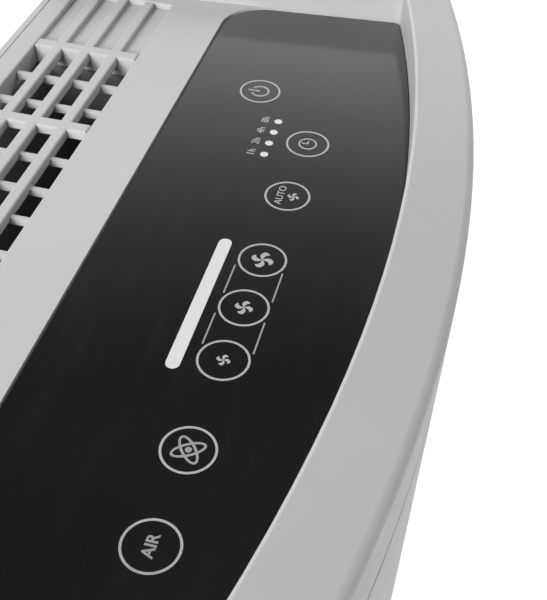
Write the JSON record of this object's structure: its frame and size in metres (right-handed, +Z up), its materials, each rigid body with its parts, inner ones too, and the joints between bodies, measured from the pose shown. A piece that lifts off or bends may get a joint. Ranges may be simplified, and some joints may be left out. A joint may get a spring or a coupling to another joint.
{
  "type": "air purifier",
  "caption": "Free-standing air purifier with bowed pull-off front, black touch panel in a recessed top, rear outlet grille, filters and centrifugal fan.",
  "frame": {"origin": "middle of the footprint, on the floor", "axes": "+Z up, -Y towards the user at the front, +X to the user's right"},
  "size_m": [0.3782, 0.208, 0.541],
  "materials": {
    "shell_white": "fine matt moulded plastic",
    "panel_glass": "gloss black panel",
    "inner_white": "plain moulded plastic",
    "duct_grey": "dark grey moulded plastic",
    "fan_plastic": "plain moulded plastic",
    "filter_frame": "satin",
    "filter_mesh": "fine nylon mesh",
    "card_frame": "coated card",
    "pleat_paper": "pleated glass fibre paper",
    "carbon": "granular carbon in honeycomb",
    "seal_foam": "closed-cell foam",
    "tab_fabric": "woven tape",
    "steel": "zinc plated",
    "motor_metal": "pressed and cast",
    "magnet": "nickel plated magnet",
    "rubber": "moulded rubber",
    "board_green": "solder-masked laminate",
    "spring_steel": "bright",
    "light_plastic": "opal light guide",
    "switch_plastic": "acetal",
    "spacer_nylon": "nylon"
  },
  "bodies": {
    "housing": {"base_screws": "steel", "base_tray": "shell_white", "board_spacers": "spacer_nylon", "cord_gland": "rubber", "cover_hinge_pins": "steel", "deck_screws": "steel", "dust_sensor": "fan_plastic", "filter_housing": "inner_white", "hatch_pin": "steel", "inlet_guard": "fan_plastic", "ioniser_module": "fan_plastic", "light_guide": "light_plastic", "magnet_strikes": "steel", "main_board": "board_green", "motor_bearings": "steel", "motor_bracket": "motor_metal", "motor_case": "motor_metal", "motor_screws": "steel", "outlet_duct": "duct_grey", "outlet_grille": "shell_white", "power_board": "board_green", "rear_housing": "shell_white", "rubber_feet": "rubber", "safety_switch": "fan_plastic", "scroll_housing": "inner_white", "top_frame": "shell_white", "touch_board": "board_green", "touch_board_screws": "steel", "touch_glass": "panel_glass", "touch_springs": "spring_steel"},
    "front_cover": {"front_cover": "shell_white", "cover_magnets": "magnet"},
    "prefilter": {"prefilter_frame": "filter_frame", "prefilter_mesh": "filter_mesh"},
    "filter_pack": {"hepa_frame": "card_frame", "hepa_pleats": "pleat_paper", "carbon_filter": "carbon", "hepa_seal": "seal_foam", "filter_pull_tabs": "tab_fabric"},
    "fan": {"impeller": "fan_plastic", "motor_shaft": "steel", "impeller_nut": "steel"},
    "sensor_hatch": {"sensor_hatch": "shell_white"},
    "switch_plunger": {"switch_plunger": "switch_plastic"}
  },
  "joints": [
    {"name": "cover_tip", "type": "hinge", "parent": "housing", "child": "front_cover", "pos_m": [0, -0.09, 0.03], "axis": [1, 0, 0], "range_deg": [0, 25]},
    {"name": "prefilter_tip", "type": "hinge", "parent": "housing", "child": "prefilter", "pos_m": [0, -0.058, 0.04], "axis": [1, 0, 0], "range_deg": [0, 15]},
    {"name": "filter_tip", "type": "hinge", "parent": "housing", "child": "filter_pack", "pos_m": [0, -0.05, 0.04], "axis": [1, 0, 0], "range_deg": [0, 8.5]},
    {"name": "fan_spin", "type": "hinge", "parent": "housing", "child": "fan", "pos_m": [0, 0.04, 0.206], "axis": [0, 1, 0], "continuous": true},
    {"name": "hatch_swing", "type": "hinge", "parent": "housing", "child": "sensor_hatch", "pos_m": [0.1766, 0.0566, 0.368], "axis": [0, 0, 1], "range_deg": [0, 90]},
    {"name": "plunger_travel", "type": "slide", "parent": "housing", "child": "switch_plunger", "axis": [0, -1, 0], "range_m": [0, 0.003]}
  ],
  "couplings": [
    {"joint": "prefilter_tip", "follows": "cover_tip", "ratio": 0.6},
    {"joint": "filter_tip", "follows": "cover_tip", "ratio": 0.34},
    {"joint": "plunger_travel", "follows": "cover_tip", "m_per_rad": 0.0068686}
  ]
}
